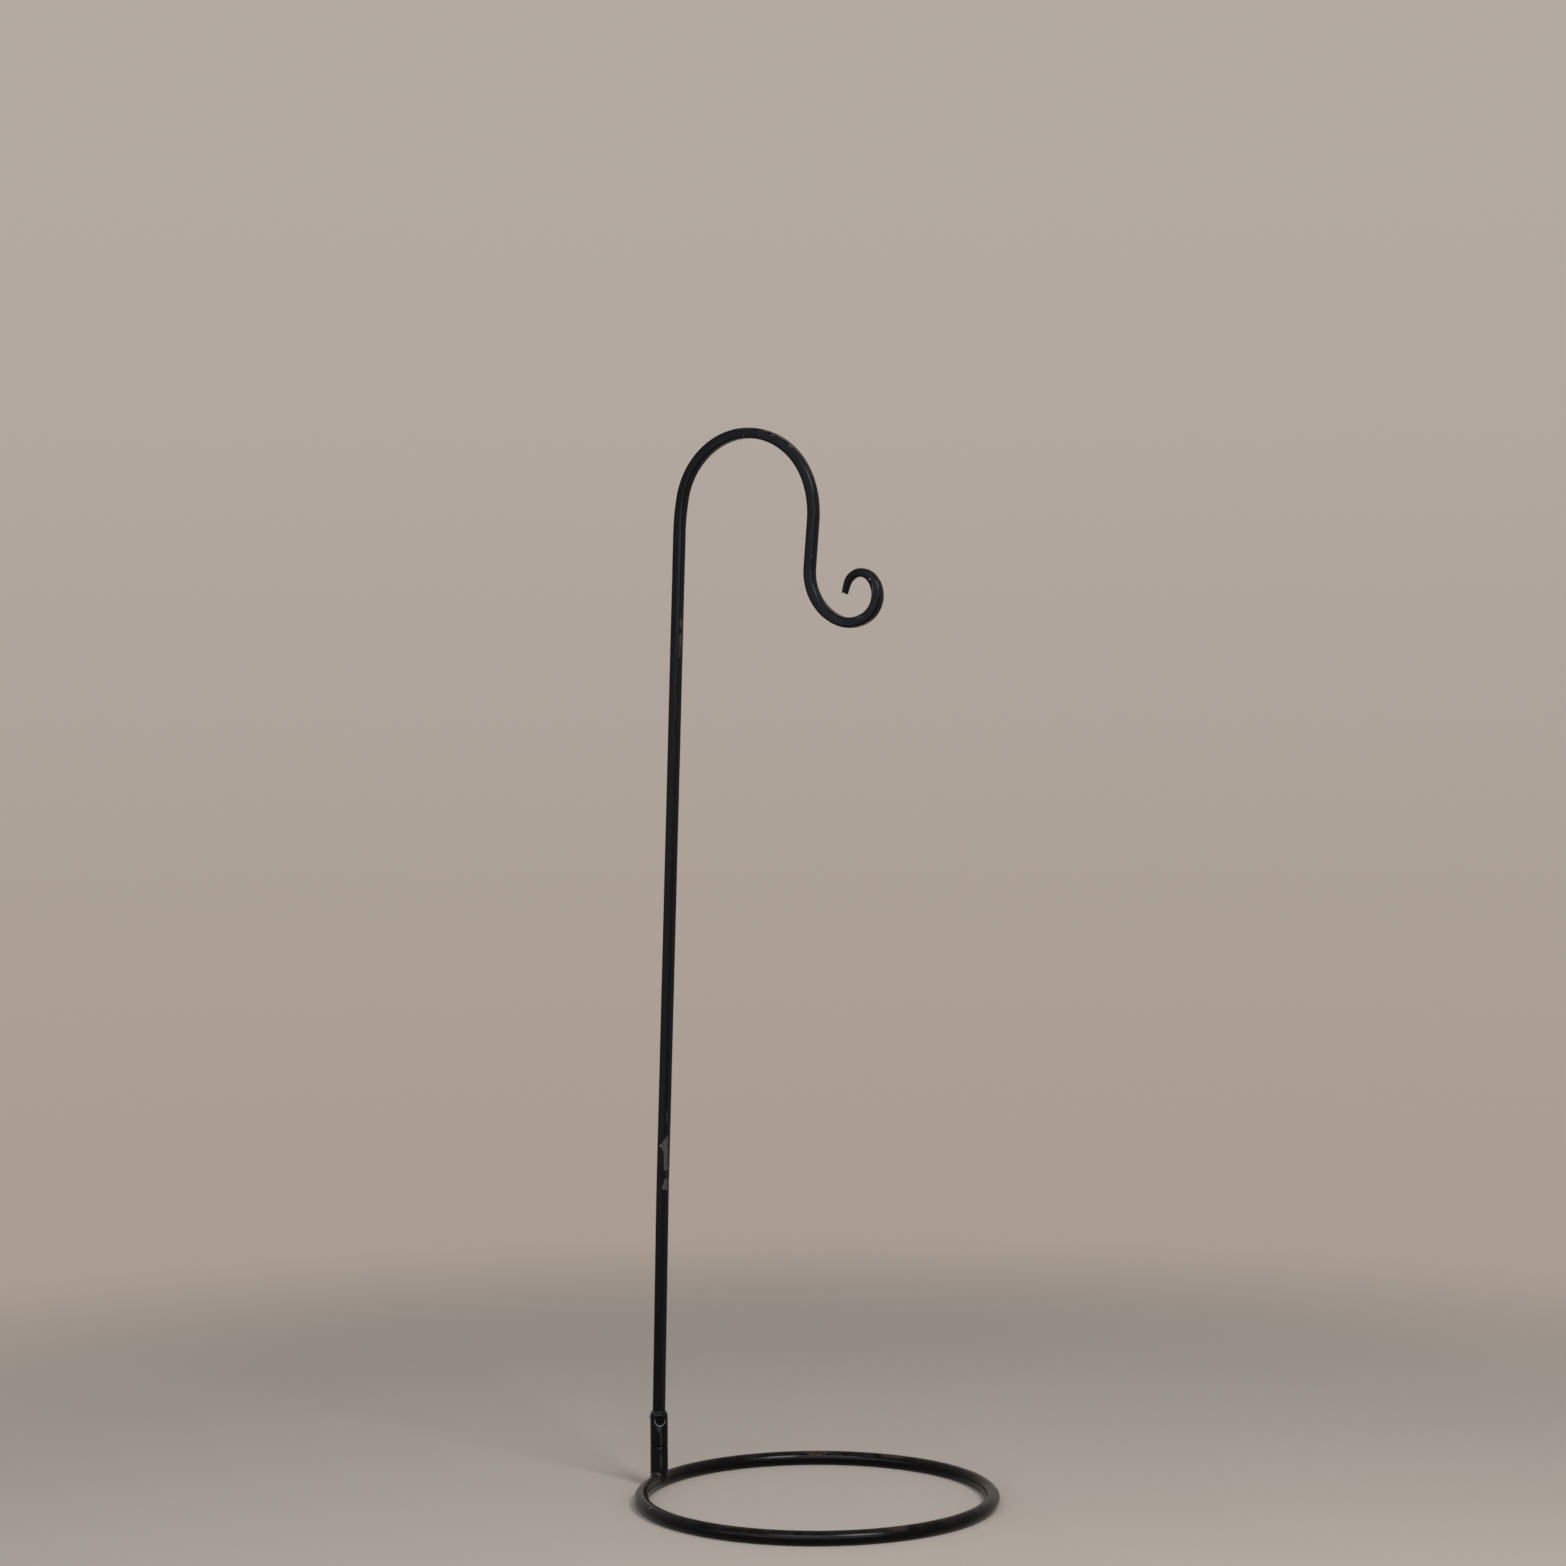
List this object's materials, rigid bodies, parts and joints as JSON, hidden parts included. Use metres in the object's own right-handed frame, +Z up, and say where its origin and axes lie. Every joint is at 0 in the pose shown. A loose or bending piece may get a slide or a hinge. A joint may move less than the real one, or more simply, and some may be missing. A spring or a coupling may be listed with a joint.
{
  "type": "hanging plant stand",
  "caption": "Table-top hanging stand: a square-bar hook with arched top and scrolled cradle, on a round-bar ring foot, joined by a sleeve and a set screw.",
  "frame": {"origin": "centre of the ring foot, on the floor it rests on", "axes": "+Z up; +X from the post across the ring, the way the hook reaches; the hook stands in an upright plane through the post, turned 7 degrees from +X towards -Y"},
  "size_m": [0.2052, 0.203, 0.5985],
  "materials": {
    "ring_paint": "satin black paint, rubbed brown in places",
    "stub_paint": "satin black paint",
    "weld_paint": "satin black paint over a rough weld",
    "screw_steel": "blackened steel",
    "bar_paint": "satin black paint with worn edges and scuffs"
  },
  "bodies": {
    "base": {"base_ring": "ring_paint", "base_stub": "stub_paint", "stub_weld": "weld_paint"},
    "hook": {"hook_sleeve": "stub_paint", "sleeve_weld": "weld_paint", "hook_bar": "bar_paint"},
    "screw": {"set_screw": "screw_steel"}
  },
  "joints": [
    {"name": "hook_swivel", "type": "hinge", "parent": "base", "child": "hook", "pos_m": [-0.0975, 0, 0.024], "axis": [0, 0, 1], "continuous": true},
    {"name": "screw_travel", "type": "slide", "parent": "hook", "child": "screw", "axis": [0.5446, -0.8387, 0], "range_m": [0, 0.0015]}
  ]
}
